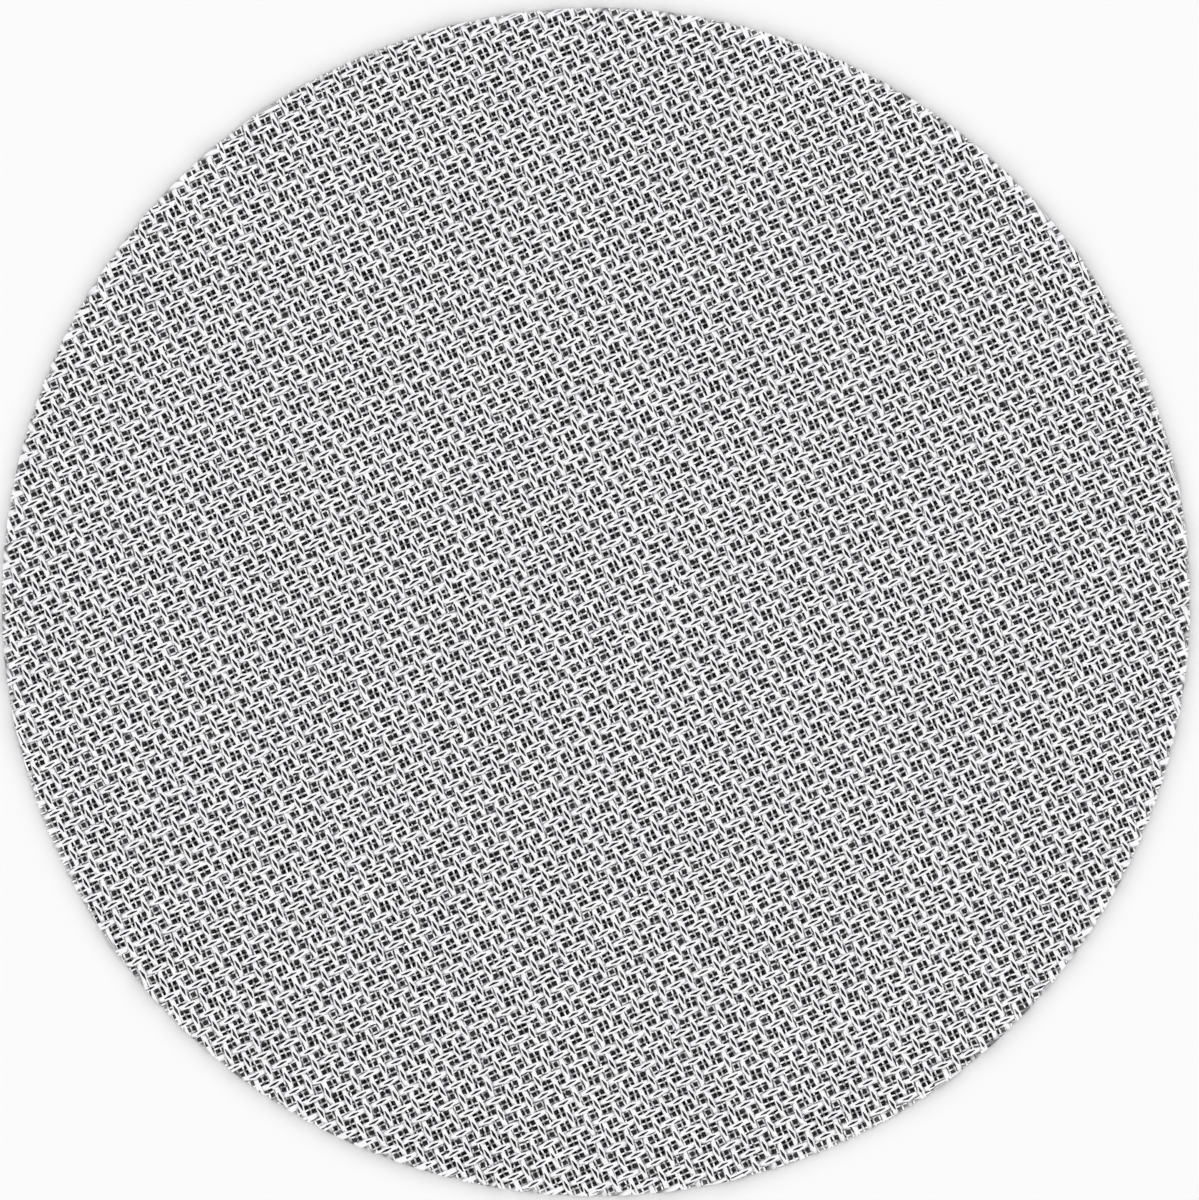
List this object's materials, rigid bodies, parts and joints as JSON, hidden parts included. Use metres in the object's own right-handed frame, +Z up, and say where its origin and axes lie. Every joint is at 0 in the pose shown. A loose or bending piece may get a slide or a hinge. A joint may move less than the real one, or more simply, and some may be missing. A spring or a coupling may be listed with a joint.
{
  "type": "wire mesh filter disc",
  "caption": "Flat round filter disc of two wire cloths: a coarse square weave lies on a fine one, cut to one circle with no rim.",
  "frame": {"origin": "centre of the disc at its underside, on the fine cloth", "axes": "+Z up through the disc from the fine side to the coarse side, X along the coarse weft, Y along the coarse warp"},
  "size_m": [0.0584, 0.0586, 0.0008],
  "materials": {
    "fine_wire": "bright drawn wire",
    "coarse_wire": "bright drawn wire with pressed flats"
  },
  "bodies": {
    "root": {"fine_mesh": "fine_wire", "coarse_weft": "coarse_wire", "coarse_warp": "coarse_wire"}
  },
  "joints": []
}
